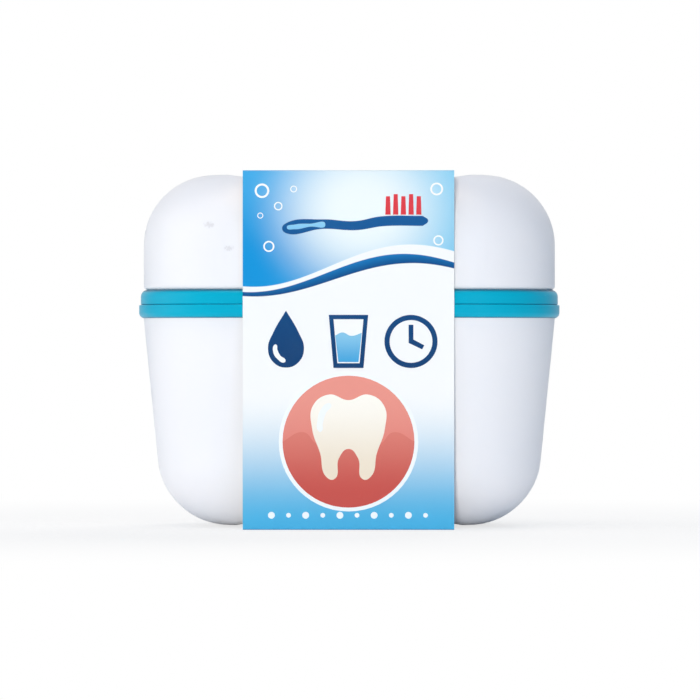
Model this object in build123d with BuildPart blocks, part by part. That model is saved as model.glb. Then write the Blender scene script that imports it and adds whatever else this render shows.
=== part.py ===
"""Hinged case for soaking dentures: two shells in two band frames, a sprung
release button, a hung strainer basket and a card sleeve round the middle.

Millimetres. +X right, +Y back, +Z up. Z = 0 is the card that the case stands on.
"""

import os
from math import atan, cos, radians, sin, tan

from build123d import *

# ---------------------------------------------------------------- case body
body_width = 97.8  # shells, outside, across X
body_depth = 76.0  # shells, outside, across Y
corner_r = 26.0  # plan corner of the shells, outside
wall = 1.8  # both shells
case_z = 0.45  # underside of the tub's runners
ring_low_z = 49.5  # underside of the lower band
parting_z = 52.7  # top of the lower band
ring_high_z = 56.3  # top of the upper band
lid_top_z = 83.55  # crown of the lid's two lobes
tub_draft = 5.7  # degrees
edge_r = 16.7  # rounding of the lid's top and the tub's bottom
lid_foot_r = 0.9  # rounding where the lid shell meets its band

# the shallow dip between the two lobes, in the lid's top and the tub's bottom
lid_dip = 2.6
lid_dip_start = 30.5
lid_shoulder_r = 17.0
tub_dip = 2.8
tub_dip_start = 27.6
tub_shoulder_r = 6.0

# ---------------------------------------------------------------- bands
low_over = 1.1  # lower band beyond the shell
high_over = 0.7  # upper band beyond the shell
low_bead_r = 1.4  # rounding under the lower band
high_top_r = 1.6  # rounding over the upper band
lip_edge_r = 0.25  # the small edges either side of the parting line
parting_gap = 0.05  # between the two bands
joint_gap = 0.03  # bonded shell in its slot
collar_h = 1.2  # straight collar of the tub inside the lower band
tongue_h = 1.4  # tongue of the lid inside the upper band
low_inner = 8.3  # inner edge of the lower band, in from the shell's outside
high_inner = 5.1  # inner edge of the upper band, likewise
seal_in = 3.9  # outer edge of the seal's groove, likewise
seal_w = 1.1
seal_h = 1.0
seal_gap = 0.04
ledge_in = 6.5  # outer edge of the ledge that carries the basket, likewise
ledge_depth = 1.3

# ---------------------------------------------------------------- hinge
hinge_out = 0.9  # axis behind the shells' back
knuckle_r = 1.9
knuckle_gap = 0.15  # band round the other's knuckle, and knuckle to knuckle
lid_knuckle = 16.0  # length of the middle knuckle
tub_knuckle = 8.0  # length of each outer knuckle
pin_r = 0.8
pin_gap = 0.05

# ---------------------------------------------------------------- button
run_gap = 0.05  # sliding clearance of the button
button_w = 15.0  # the face that the thumb meets
button_h = 5.0
button_travel = 1.2
plate_rim = 1.3  # the plate behind the face is this much bigger all round
plate_t = 0.7
lip_t = 0.6  # the housing's lip in front of the plate
pocket_wall = 1.4  # housing, at the sides
pocket_back = 1.0  # housing, at the back
keeper_t = 1.2
hook_w = 5.2
hook_t = 1.0
hook_barb = 0.6
hook_gap = 0.1  # nose to hook
bar_t = 0.9
bar_h = 1.6
arm_w = 1.0
peg_r = 0.75
peg_l = 1.2
spring_r = 1.15  # to the wire's middle
spring_wire = 0.2
spring_turns = 5

# ---------------------------------------------------------------- basket
basket_wall = 1.2
basket_gap = 0.1  # flange in its rebate
body_gap = 0.2  # basket in the band's mouth
flange_t = 1.2
basket_z = 7.0  # underside of the basket's floor
basket_edge_r = 9.0
slot_w = 2.4
slot_pitch = 9.0
slots_front = 5
slots_side = 3
slot_low = 12.0  # lower end of a slot, above the basket's underside
slot_top = 8.0  # upper end of a slot, below the flange
drain_r = 1.5
drain_pitch = 8.0
drain_columns = 7
drain_rows = 5
bail_gap = 0.9
bail_w = 2.4
bail_t = 2.2
bail_drop = 4.0  # pivot under the flange's top
bail_pin_r = 1.1
bail_pin_gap = 0.1
bail_end = 3.0  # tail of the bail behind its pivot

# ---------------------------------------------------------------- sleeve
card_t = 0.4
sleeve_w = 49.4
sleeve_gap = 0.05  # card to the lobes, the runners and the hinge
sleeve_cut = 0.03  # between the two halves
flap_up = 7.0  # upper flap ends this far above the hinge's axis
flap_down = 9.0  # lower flap ends this far below it
fold_r = 0.35

spare = 5.0  # how far a cut runs on past what it cuts

# ---------------------------------------------------------------- worked out
half_w, half_d = body_width / 2, body_depth / 2
hinge_dy = half_d + hinge_out
hinge_z = parting_z
front_dy = half_d + low_over + sleeve_gap  # inner face of the front card
back_dy = hinge_dy + knuckle_r + sleeve_gap  # inner face of the back card
case_y = (front_dy - back_dy) / 2  # puts the middle of the whole at Y = 0
dip_eps = 0.005  # lets the dip cross the crown instead of grazing it
high_z = parting_z + parting_gap  # underside of the upper band
knuckle_mid = lid_knuckle / 2
knuckle_out = knuckle_mid + knuckle_gap + tub_knuckle

# the button's stack, from the front of the lower band inwards
face_dy = -(half_d + low_over)
plate_front = face_dy + lip_t + run_gap
plate_rear = plate_front + plate_t
hook_front = plate_rear + button_travel + hook_gap
hook_rear = hook_front + hook_t
nose_dy = hook_rear + hook_gap
bar_rear = nose_dy + bar_t
pocket_dy = bar_rear + button_travel + hook_gap
housing_dy = pocket_dy + pocket_back
plate_w = button_w + 2 * plate_rim
plate_h = button_h + 2 * plate_rim - lip_edge_r * 4
pocket_half = plate_w / 2 + run_gap
housing_half = pocket_half + pocket_wall
pocket_top = parting_z - 3 * lip_t
plate_top = pocket_top - run_gap
plate_low = plate_top - plate_h
keeper_top = plate_low - run_gap
keeper_low = keeper_top - keeper_t
button_z = (plate_top + plate_low) / 2
bar_low = button_z - bar_h / 3
hook_foot = keeper_top + bar_t
hook_slot = hook_front - 5.5 * hook_gap
arm_in = hook_w / 2 + lip_t
spring_x = (arm_in + arm_w + pocket_half) / 2
spring_len = pocket_dy - plate_rear - 2 * spring_wire - 2 * joint_gap

# the basket and its bail
basket_out = low_inner + body_gap
ledge_z = parting_z - ledge_depth
slot_z0, slot_z1 = basket_z + slot_low, ledge_z - slot_top
bail_z = ledge_z + flange_t - bail_drop
bail_lean = (ledge_z - bail_z + bail_t) * tan(radians(tub_draft))
bail_off = basket_out + basket_wall + bail_gap + bail_lean
bail_reach = half_w - basket_out - bail_pin_gap

# the sleeve
sleeve_top = lid_top_z + sleeve_gap + card_t
sleeve_low = case_z - sleeve_gap - card_t
card_front, card_back = front_dy + card_t, back_dy + card_t


def level(z):
    """The level plane at z, with its middle on the case's middle."""
    return Plane(origin=(0, case_y, z))


def cross(x):
    """The upright plane at x, drawn in (back from the case's middle, up)."""
    return Plane(origin=(x, case_y, 0), x_dir=(0, 1, 0), z_dir=(1, 0, 0))


def facing(dy, z):
    """The upright plane that faces the back, at dy and z."""
    return Plane(origin=(0, case_y + dy, z), x_dir=(1, 0, 0), z_dir=(0, -1, 0))


def outline(off):
    """Width, depth and corner of the shells' outline, moved out by off."""
    w, d = body_width + 2 * off, body_depth + 2 * off
    return w, d, min(max(corner_r + off, lip_edge_r), d / 2 - lip_edge_r)


def foot_corner(off, deep):
    """The plan corner that a drafted form still has after going deep."""
    return outline(off)[2] - deep * tan(radians(tub_draft)) - lip_edge_r


def slab(off, z0, z1, mode=Mode.ADD, taper=0.0):
    """A level slab of the shells' outline, moved out by off, in the open part."""
    with BuildSketch(level(z0)) as plan:
        RectangleRounded(*outline(off))
    extrude(plan.sketch, amount=z1 - z0, taper=taper, mode=mode)


def frame(outer, inner, z0, z1, mode=Mode.ADD):
    """A level frame between two offsets of the shells' outline."""
    with BuildSketch(level(z0)) as plan:
        RectangleRounded(*outline(outer))
        RectangleRounded(*outline(inner), mode=Mode.SUBTRACT)
    extrude(plan.sketch, amount=z1 - z0, mode=mode)


def bar(x0, x1, dy, z, r, mode=Mode.ADD):
    """A round bar along X."""
    with BuildSketch(cross(min(x0, x1))) as end:
        with Locations((dy, z)):
            Circle(r)
    extrude(end.sketch, amount=abs(x1 - x0), mode=mode)


def block(x0, x1, dy0, dy1, z0, z1, mode=Mode.ADD):
    """A straight block from its limits, dy from the case's middle."""
    with BuildSketch(cross(min(x0, x1))) as end:
        with Locations(((dy0 + dy1) / 2, (z0 + z1) / 2)):
            Rectangle(abs(dy1 - dy0), abs(z1 - z0))
    extrude(end.sketch, amount=abs(x1 - x0), mode=mode)


def cut_dip(z, up, depth, start, shoulder, inset):
    """Takes the shallow dip along Y out of a top (up = 1) or bottom (up = -1)."""
    turn = 2 * atan(depth / start)
    hollow = start / sin(turn) - shoulder
    r, c = max(shoulder - inset, lip_edge_r), hollow + inset
    z = z - up * inset + up * dip_eps
    half = turn / 2
    join_x, join_z = start - r * sin(turn), z - up * r * (1 - cos(turn))
    low = join_z - up * c * (1 - cos(turn))
    over = z + up * (depth + spare)
    with BuildSketch(facing(half_d + spare, 0)) as profile:
        with BuildLine():
            ThreePointArc((start, z), (start - r * sin(half), z - up * r * (1 - cos(half))), (join_x, join_z))
            ThreePointArc((join_x, join_z), (0, low), (-join_x, join_z))
            ThreePointArc((-join_x, join_z), (-start + r * sin(half), z - up * r * (1 - cos(half))), (-start, z))
            Polyline((-start, z), (-start, over), (start, over), (start, z))
        make_face()
    extrude(profile.sketch, amount=body_depth + 2 * spare, mode=Mode.SUBTRACT)


# ---------------------------------------------------------------- tub shell
# what is hollow in the tub: its outside, moved in by the wall
with BuildPart() as tub_hollow:
    slab(-wall, ring_low_z, case_z + wall, taper=tub_draft)
    fillet(
        tub_hollow.edges().group_by(Axis.Z)[0],
        radius=min(edge_r - wall, foot_corner(-wall, ring_low_z - case_z - wall)),
    )
    cut_dip(case_z, -1, tub_dip, tub_dip_start, tub_shoulder_r, wall)
    slab(-wall, ring_low_z, ring_low_z + collar_h + spare)

with BuildPart() as tub_shell:
    slab(0, ring_low_z, case_z, taper=tub_draft)
    fillet(
        tub_shell.edges().group_by(Axis.Z)[0],
        radius=min(edge_r, foot_corner(0, ring_low_z - case_z)),
    )
    cut_dip(case_z, -1, tub_dip, tub_dip_start, tub_shoulder_r, 0)
    slab(0, ring_low_z, ring_low_z + collar_h)
    add(tub_hollow.part, mode=Mode.SUBTRACT)
    # the window that the button's housing passes through
    block(
        -housing_half - joint_gap,
        housing_half + joint_gap,
        face_dy - spare,
        housing_dy + joint_gap,
        keeper_low - joint_gap,
        parting_z,
        mode=Mode.SUBTRACT,
    )
tub_shell.part.label = "tub_shell"

# ---------------------------------------------------------------- lower band
# housing of the button: a box through the tub's front wall
with BuildPart() as button_housing:
    block(-housing_half, housing_half, face_dy, housing_dy, keeper_low, ring_low_z + collar_h)
    fillet(
        button_housing.edges().filter_by(Axis.Z).group_by(Axis.Y)[0],
        radius=min(1.0, pocket_wall - lip_edge_r),
    )

with BuildPart() as tub_rim_ring:
    slab(low_over, ring_low_z, parting_z)
    fillet(tub_rim_ring.edges().group_by(Axis.Z)[0], radius=low_bead_r)
    fillet(tub_rim_ring.edges().group_by(Axis.Z)[-1], radius=lip_edge_r)
    slab(-low_inner, ring_low_z - spare, parting_z + spare, mode=Mode.SUBTRACT)
    # slot over the tub's collar, groove of the seal, ledge of the basket
    frame(joint_gap, -wall - joint_gap, ring_low_z - spare, ring_low_z + collar_h + joint_gap, mode=Mode.SUBTRACT)
    frame(-seal_in, -seal_in - seal_w - 2 * joint_gap, parting_z - seal_h, parting_z + spare, mode=Mode.SUBTRACT)
    slab(-ledge_in, ledge_z, parting_z + spare, mode=Mode.SUBTRACT)
    add(button_housing.part)
    # hinge: room for the lid's knuckle, and the tub's own two
    bar(-knuckle_mid - knuckle_gap, knuckle_mid + knuckle_gap, hinge_dy, hinge_z, knuckle_r + knuckle_gap, mode=Mode.SUBTRACT)
    for side in (-1, 1):
        bar(side * (knuckle_mid + knuckle_gap), side * knuckle_out, hinge_dy, hinge_z, knuckle_r)
    bar(-knuckle_out - spare, knuckle_out + spare, hinge_dy, hinge_z, pin_r + pin_gap, mode=Mode.SUBTRACT)
    # pocket of the button, open below, its window in front, the hook's slot above
    block(-pocket_half, pocket_half, face_dy + lip_t, pocket_dy, keeper_low - spare, pocket_top, mode=Mode.SUBTRACT)
    block(
        -button_w / 2 - run_gap,
        button_w / 2 + run_gap,
        face_dy - spare,
        plate_rear,
        button_z - button_h / 2 - run_gap,
        button_z + button_h / 2 + run_gap,
        mode=Mode.SUBTRACT,
    )
    block(
        -hook_w / 2 - 4 * hook_gap,
        hook_w / 2 + 4 * hook_gap,
        hook_slot,
        hook_rear + hook_barb + hook_gap,
        pocket_top - hook_gap,
        parting_z + spare,
        mode=Mode.SUBTRACT,
    )
tub_rim_ring.part.label = "tub_rim_ring"

# ---------------------------------------------------------------- seal
with BuildPart() as rim_seal:
    frame(-seal_in - joint_gap, -seal_in - joint_gap - seal_w, parting_z - seal_h, high_z - seal_gap)
    fillet(rim_seal.edges().group_by(Axis.Z)[-1], radius=seal_w / 3)
rim_seal.part.label = "rim_seal"

# ---------------------------------------------------------------- keeper
with BuildPart() as button_keeper:
    block(
        -pocket_half + joint_gap,
        pocket_half - joint_gap,
        face_dy + lip_t + joint_gap,
        pocket_dy - joint_gap,
        keeper_low,
        keeper_top,
    )
button_keeper.part.label = "button_keeper"

# ---------------------------------------------------------------- button
with BuildPart() as button_face:
    block(-button_w / 2, button_w / 2, face_dy, plate_front, button_z - button_h / 2, button_z + button_h / 2)
    fillet(button_face.edges().group_by(Axis.Y)[0], radius=lip_t / 2)

with BuildPart() as release_button:
    block(-plate_w / 2, plate_w / 2, plate_front, plate_rear, plate_low, plate_top)
    add(button_face.part)
    for side in (-1, 1):
        block(side * arm_in, side * (arm_in + arm_w), plate_rear, bar_rear, bar_low, bar_low + bar_h)
    block(-arm_in - arm_w / 2, arm_in + arm_w / 2, nose_dy, bar_rear, bar_low, bar_low + bar_h)
    # pegs that the springs sit on
    with BuildSketch(facing(plate_rear + peg_l, button_z)):
        with Locations((-spring_x, 0), (spring_x, 0)):
            Circle(peg_r)
    extrude(amount=peg_l)
release_button.part.label = "release_button"


# ---------------------------------------------------------------- two springs
def coil(x):
    """A return spring behind the button, as a coil of round wire."""
    with BuildPart() as wire:
        with BuildLine() as path:
            Helix(
                pitch=spring_len / spring_turns,
                height=spring_len,
                radius=spring_r,
                center=(x, case_y + plate_rear + joint_gap + spring_wire, button_z),
                direction=(0, 1, 0),
            )
        with BuildSketch(path.line ^ 0):
            Circle(spring_wire)
        sweep(path=path.line, is_frenet=True)
    return wire.part


with BuildPart() as button_spring_left:
    add(coil(-spring_x))
button_spring_left.part.label = "button_spring_left"

with BuildPart() as button_spring_right:
    add(coil(spring_x))
button_spring_right.part.label = "button_spring_right"

# ---------------------------------------------------------------- hinge pin
with BuildPart() as hinge_pin:
    bar(-knuckle_out + lip_edge_r, knuckle_out - lip_edge_r, hinge_dy, hinge_z, pin_r)
hinge_pin.part.label = "hinge_pin"

# ---------------------------------------------------------------- lid shell
with BuildPart() as lid_hollow:
    slab(-wall, ring_high_z - tongue_h - spare, lid_top_z - wall)
    fillet(
        lid_hollow.edges().group_by(Axis.Z)[-1],
        radius=min(edge_r, outline(0)[2] - lip_edge_r) - wall,
    )
    cut_dip(lid_top_z, 1, lid_dip, lid_dip_start, lid_shoulder_r, wall)

with BuildPart() as lid_shell:
    slab(0, ring_high_z, lid_top_z)
    fillet(
        lid_shell.edges().group_by(Axis.Z)[-1],
        radius=min(edge_r, outline(0)[2] - lip_edge_r),
    )
    fillet(lid_shell.edges().group_by(Axis.Z)[0], radius=lid_foot_r)
    cut_dip(lid_top_z, 1, lid_dip, lid_dip_start, lid_shoulder_r, 0)
    slab(-lid_foot_r, ring_high_z - tongue_h, ring_high_z + lid_foot_r)
    add(lid_hollow.part, mode=Mode.SUBTRACT)
lid_shell.part.label = "lid_shell"

# ---------------------------------------------------------------- upper band
with BuildPart() as lid_rim_ring:
    slab(high_over, high_z, ring_high_z - joint_gap)
    fillet(lid_rim_ring.edges().group_by(Axis.Z)[-1], radius=high_top_r)
    fillet(lid_rim_ring.edges().group_by(Axis.Z)[0], radius=lip_edge_r)
    slab(-high_inner, high_z - spare, ring_high_z + spare, mode=Mode.SUBTRACT)
    # slot for the lid's tongue
    frame(-lid_foot_r + joint_gap, -wall - joint_gap, ring_high_z - tongue_h - joint_gap, ring_high_z + spare, mode=Mode.SUBTRACT)
    for side in (-1, 1):
        bar(side * knuckle_mid, side * (knuckle_out + knuckle_gap), hinge_dy, hinge_z, knuckle_r + knuckle_gap, mode=Mode.SUBTRACT)
    bar(-knuckle_mid, knuckle_mid, hinge_dy, hinge_z, knuckle_r)
    bar(-knuckle_mid - spare, knuckle_mid + spare, hinge_dy, hinge_z, pin_r + pin_gap, mode=Mode.SUBTRACT)
    # the hook that the button holds
    with BuildSketch(cross(-hook_w / 2)):
        with BuildLine():
            Polyline(
                (hook_front, high_z + lip_edge_r),
                (hook_rear, high_z + lip_edge_r),
                (hook_rear, bar_low - hook_gap),
                (hook_rear + hook_barb, bar_low - hook_gap),
                (hook_rear + hook_barb, bar_low - hook_gap - hook_barb),
                (hook_rear - 2 * hook_gap, hook_foot),
                (hook_front, hook_foot),
                close=True,
            )
        make_face()
    extrude(amount=hook_w)
lid_rim_ring.part.label = "lid_rim_ring"

# ---------------------------------------------------------------- basket
with BuildPart() as basket_hollow:
    slab(-basket_out - basket_wall, ledge_z, basket_z + basket_wall, taper=tub_draft)
    fillet(
        basket_hollow.edges().group_by(Axis.Z)[0],
        radius=min(
            basket_edge_r - basket_wall,
            foot_corner(-basket_out - basket_wall, ledge_z - basket_z - basket_wall),
        ),
    )
    slab(-basket_out - basket_wall, ledge_z, ledge_z + flange_t + spare)

with BuildPart() as basket:
    slab(-basket_out, ledge_z, basket_z, taper=tub_draft)
    fillet(
        basket.edges().group_by(Axis.Z)[0],
        radius=min(basket_edge_r, foot_corner(-basket_out, ledge_z - basket_z)),
    )
    slab(-ledge_in - basket_gap, ledge_z, ledge_z + flange_t)
    add(basket_hollow.part, mode=Mode.SUBTRACT)
    # slots through front and back, then through both sides
    with BuildSketch(facing(half_d, (slot_z0 + slot_z1) / 2)):
        with GridLocations(slot_pitch, 1, slots_front, 1):
            SlotOverall(slot_z1 - slot_z0, slot_w, rotation=90)
    extrude(amount=body_depth, mode=Mode.SUBTRACT)
    with BuildSketch(cross(-half_w)):
        with Locations((0, (slot_z0 + slot_z1 - bail_drop) / 2)):
            with GridLocations(slot_pitch, 1, slots_side, 1):
                SlotOverall(slot_z1 - slot_z0 - bail_drop, slot_w, rotation=90)
    extrude(amount=body_width, mode=Mode.SUBTRACT)
    # drain holes in the floor
    with BuildSketch(level(basket_z - spare)):
        with GridLocations(drain_pitch, drain_pitch, drain_columns, drain_rows):
            Circle(drain_r)
    extrude(amount=basket_wall + 2 * spare, mode=Mode.SUBTRACT)
    bar(-half_w, half_w, 0, bail_z, bail_pin_r + bail_pin_gap, mode=Mode.SUBTRACT)
basket.part.label = "basket"

# ---------------------------------------------------------------- bail
with BuildPart() as basket_handle:
    frame(-bail_off, -bail_off - bail_w, bail_z - bail_t / 2, bail_z + bail_t / 2)
    block(-half_w, half_w, bail_end, half_d, bail_z - bail_t, bail_z + bail_t, mode=Mode.SUBTRACT)
    for side in (-1, 1):
        bar(side * (half_w - bail_off - bail_w / 2), side * bail_reach, 0, bail_z, bail_pin_r)
basket_handle.part.label = "basket_handle"


# ---------------------------------------------------------------- sleeve
def card(z_front, z_far, z_back, inward):
    """Half of the sleeve in the open part: front panel, top or bottom, flap."""
    with BuildSketch(cross(-sleeve_w / 2)) as fold:
        with BuildLine():
            Polyline(
                (-card_front, z_front),
                (-card_front, z_far),
                (card_back, z_far),
                (card_back, z_back),
                (back_dy, z_back),
                (back_dy, z_far + inward),
                (-front_dy, z_far + inward),
                (-front_dy, z_front),
                close=True,
            )
        make_face()
    extrude(fold.sketch, amount=sleeve_w)


with BuildPart() as sleeve_upper:
    card(high_z, sleeve_top, hinge_z + flap_up, -card_t)
    fillet(sleeve_upper.edges().filter_by(Axis.X).group_by(Axis.Z)[-1], radius=fold_r)
sleeve_upper.part.label = "sleeve_upper"

with BuildPart() as sleeve_lower:
    card(high_z - sleeve_cut, sleeve_low, hinge_z - flap_down, card_t)
    fillet(sleeve_lower.edges().filter_by(Axis.X).group_by(Axis.Z)[0], radius=fold_r)
sleeve_lower.part.label = "sleeve_lower"

# ---------------------------------------------------------------- files
os.makedirs("parts", exist_ok=True)
export_step(tub_shell.part, "parts/tub_shell.step")
export_step(tub_rim_ring.part, "parts/tub_rim_ring.step")
export_step(rim_seal.part, "parts/rim_seal.step")
export_step(button_keeper.part, "parts/button_keeper.step")
export_step(release_button.part, "parts/release_button.step")
export_step(button_spring_left.part, "parts/button_spring_left.step")
export_step(button_spring_right.part, "parts/button_spring_right.step")
export_step(hinge_pin.part, "parts/hinge_pin.step")
export_step(lid_shell.part, "parts/lid_shell.step")
export_step(lid_rim_ring.part, "parts/lid_rim_ring.step")
export_step(basket.part, "parts/basket.step")
export_step(basket_handle.part, "parts/basket_handle.step")
export_step(sleeve_upper.part, "parts/sleeve_upper.step")
export_step(sleeve_lower.part, "parts/sleeve_lower.step")
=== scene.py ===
"""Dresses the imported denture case: shells, bands, card sleeve, basket and studio.

Lengths in the classes are millimetres; meshes are written in metres.
"""

from __future__ import annotations

import logging
import math
from collections.abc import Sequence
from dataclasses import asdict, dataclass
from enum import Enum
from functools import cache

import bmesh
import bpy
from mathutils import Matrix, Vector

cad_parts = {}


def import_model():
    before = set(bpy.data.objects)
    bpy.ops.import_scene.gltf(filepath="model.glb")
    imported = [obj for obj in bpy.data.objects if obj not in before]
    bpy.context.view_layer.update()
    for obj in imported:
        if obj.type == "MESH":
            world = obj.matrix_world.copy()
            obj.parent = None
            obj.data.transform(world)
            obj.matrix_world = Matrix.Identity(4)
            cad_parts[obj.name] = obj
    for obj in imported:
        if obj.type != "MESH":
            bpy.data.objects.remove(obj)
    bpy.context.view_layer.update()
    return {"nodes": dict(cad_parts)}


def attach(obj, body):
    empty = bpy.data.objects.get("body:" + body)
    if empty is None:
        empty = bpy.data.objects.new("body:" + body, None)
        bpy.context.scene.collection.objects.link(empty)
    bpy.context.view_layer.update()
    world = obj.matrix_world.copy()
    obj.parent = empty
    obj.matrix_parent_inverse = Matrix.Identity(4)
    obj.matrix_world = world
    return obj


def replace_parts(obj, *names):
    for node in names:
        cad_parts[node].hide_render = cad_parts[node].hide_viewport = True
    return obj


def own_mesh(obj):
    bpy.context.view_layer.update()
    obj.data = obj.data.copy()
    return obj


LOG = logging.getLogger("denture_case")
MM = 0.001
NEAR = 1e-3  # a corner this close to a level lies on it, in millimetres
CLOUD_SPAN = (0.35, 0.7)  # the noise values over which clouds come in
WEAR_SPAN = (0.3, 0.7)  # the noise values over which wear changes the gloss
WEAR_GRAINS = 14  # size of the wear, in grains of the surface
GRAIN_RELIEF = 0.1  # height of a grain, as a share of its size
WHITE = (1.0, 1.0, 1.0, 1.0)


def srgb(hex_colour: str) -> tuple[float, float, float, float]:
    """Turns an sRGB hex colour into the linear one that shaders use.

    Args:
        hex_colour: six hex digits.

    Returns:
        Linear red, green, blue and an alpha of 1.
    """
    channels = [int(hex_colour[i : i + 2], 16) / 255 for i in (0, 2, 4)]
    linear = [c / 12.92 if c <= 0.04045 else ((c + 0.055) / 1.055) ** 2.4 for c in channels]
    return (linear[0], linear[1], linear[2], 1.0)


def put(
    tree: bpy.types.NodeTree, kind: str, inputs: dict[object, object] | None = None, **settings: object
) -> bpy.types.Node:
    """Adds a node with its settings, values and links.

    Args:
        tree: the node tree that gets it.
        kind: the node's type name.
        inputs: by input name or number, a value, or the output socket to link.
        **settings: the node's own properties.

    Returns:
        The new node.
    """
    node = tree.nodes.new(kind)
    for name, value in settings.items():
        setattr(node, name, value)
    for key, value in (inputs or {}).items():
        if isinstance(value, bpy.types.NodeSocket):
            tree.links.new(value, node.inputs[key])
        else:
            node.inputs[key].default_value = value
    return node


class Body(str, Enum):
    """The moving bodies that the pieces ride on."""

    TUB = "tub"
    LID = "lid"
    BUTTON = "button"
    SLEEVE_LOW = "sleeve_base"
    SLEEVE_TOP = "sleeve_top"


# ------------------------------------------------------------------ finishes
@dataclass(frozen=True)
class Finish:
    """A moulded or coated surface: a principled shader with fine relief.

    Attributes:
        name: the material's name.
        colour: sRGB hex of the surface.
        tint: sRGB hex that slow clouds mix in.
        cloud_mm: size of those clouds.
        tint_share: how much of the tint they bring.
        rough: mean roughness.
        rough_swing: how far fine wear moves it.
        grain_mm: size of the surface's grain.
        relief: strength of that grain, from 0 to 1.
        ior: index of refraction.
        coat: weight of a clear gloss over it.
        glow: share of light scattered under the surface.
        glow_mm: how far it scatters.
        metal: 1 for bare metal.
        shine: strength of the surface's own reflection, 0.5 being plain.
    """

    name: str
    colour: str
    tint: str
    cloud_mm: float = 30.0
    tint_share: float = 0.25
    rough: float = 0.3
    rough_swing: float = 0.06
    grain_mm: float = 0.5
    relief: float = 0.05
    ior: float = 1.49
    coat: float = 0.0
    glow: float = 0.0
    glow_mm: float = 1.5
    metal: float = 0.0
    shine: float = 0.5

    def hue(self, tree: bpy.types.NodeTree, at: bpy.types.NodeSocket) -> bpy.types.NodeSocket:
        """Mixes the surface's colour: the pigment with slow clouds in it.

        Args:
            tree: the material's nodes.
            at: the object's own coordinates, in millimetres.

        Returns:
            The colour's socket.
        """
        cloud = put(
            tree,
            "ShaderNodeTexNoise",
            {"Vector": at, "Scale": 1 / self.cloud_mm, "Detail": 2.0, "Roughness": 0.5},
        )
        share = put(
            tree,
            "ShaderNodeMapRange",
            {
                "Value": cloud.outputs["Fac"],
                "From Min": CLOUD_SPAN[0],
                "From Max": CLOUD_SPAN[1],
                "To Min": 0.0,
                "To Max": self.tint_share,
            },
        )
        mix = put(
            tree,
            "ShaderNodeMix",
            {0: share.outputs["Result"], 6: srgb(self.colour), 7: srgb(self.tint)},
            data_type="RGBA",
        )
        return mix.outputs[2]

    def build(self) -> bpy.types.Material:
        """Makes the material.

        Returns:
            The finished material.
        """
        material = bpy.data.materials.new(self.name)
        material.use_nodes = True
        tree = material.node_tree
        tree.nodes.clear()
        where = put(tree, "ShaderNodeTexCoord")
        in_mm = put(
            tree,
            "ShaderNodeMapping",
            {"Vector": where.outputs["Object"], "Scale": (1 / MM, 1 / MM, 1 / MM)},
        )
        at = in_mm.outputs["Vector"]
        fine = put(
            tree,
            "ShaderNodeTexNoise",
            {"Vector": at, "Scale": 1 / self.grain_mm, "Detail": 3.0, "Roughness": 0.55},
        )
        wear = put(
            tree,
            "ShaderNodeTexNoise",
            {"Vector": at, "Scale": 1 / (self.grain_mm * WEAR_GRAINS), "Detail": 4.0, "Roughness": 0.65},
        )
        rough = put(
            tree,
            "ShaderNodeMapRange",
            {
                "Value": wear.outputs["Fac"],
                "From Min": WEAR_SPAN[0],
                "From Max": WEAR_SPAN[1],
                "To Min": self.rough - self.rough_swing,
                "To Max": self.rough + self.rough_swing,
            },
        )
        bump = put(
            tree,
            "ShaderNodeBump",
            {
                "Height": fine.outputs["Fac"],
                "Strength": self.relief,
                "Distance": self.grain_mm * GRAIN_RELIEF * MM,
            },
        )
        shader = put(
            tree,
            "ShaderNodeBsdfPrincipled",
            {
                "Base Color": self.hue(tree, at),
                "Roughness": rough.outputs["Result"],
                "Normal": bump.outputs["Normal"],
                "IOR": self.ior,
                "Metallic": self.metal,
                "Specular IOR Level": self.shine,
                "Coat Weight": self.coat,
                "Coat Roughness": 0.12,
                "Subsurface Weight": self.glow,
                "Subsurface Radius": (1.0, 0.95, 0.9),
                "Subsurface Scale": self.glow_mm * MM,
            },
        )
        out = put(tree, "ShaderNodeOutputMaterial")
        tree.links.new(shader.outputs["BSDF"], out.inputs["Surface"])
        return material


@cache
def material_of(finish: Finish) -> bpy.types.Material:
    """The finish's one material, built when it is first asked for."""
    return finish.build()


# Polypropylene, injection moulded in a polished tool: an even, faintly blue
# white with soft broad highlights and a little light under the skin.
SHELL_WHITE = Finish(
    "polypropylene_white_moulded",
    "F6F7FD",
    "EFF2FB",
    cloud_mm=34,
    tint_share=0.3,
    rough=0.33,
    rough_swing=0.04,
    grain_mm=0.9,
    relief=0.015,
    glow=0.15,
    glow_mm=1.2,
    shine=0.42,
)
# The same plastic in blue-green masterbatch: strong colour, sharper gloss.
BAND_BLUE = Finish(
    "polypropylene_turquoise_moulded",
    "03B1D2",
    "04A1C8",
    cloud_mm=40,
    tint_share=0.5,
    rough=0.31,
    rough_swing=0.03,
    grain_mm=0.7,
    relief=0.02,
    shine=0.16,
)
# ABS, moulded and polished where the thumb meets it: deeper and glossier.
BUTTON_BLUE = Finish(
    "abs_turquoise_moulded",
    "109CC0",
    "0C8CB2",
    cloud_mm=12,
    tint_share=0.4,
    rough=0.32,
    rough_swing=0.03,
    grain_mm=0.4,
    relief=0.05,
    ior=1.53,
    coat=0.2,
)
# Natural polypropylene with a touch of pigment: milky and satin.
BASKET_ICE = Finish(
    "polypropylene_ice_blue_satin",
    "B9E4F0",
    "A6DCEB",
    cloud_mm=22,
    tint_share=0.5,
    rough=0.38,
    rough_swing=0.06,
    grain_mm=0.6,
    relief=0.1,
    glow=0.25,
    glow_mm=2.0,
)
# Silicone, moulded: soft, matt, a little greyish.
SEAL_SILICONE = Finish(
    "silicone_moulded_clear_white",
    "DDE6EA",
    "CDDBE2",
    cloud_mm=10,
    tint_share=0.4,
    rough=0.55,
    rough_swing=0.08,
    grain_mm=0.3,
    relief=0.2,
    ior=1.41,
    glow=0.3,
)
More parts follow.
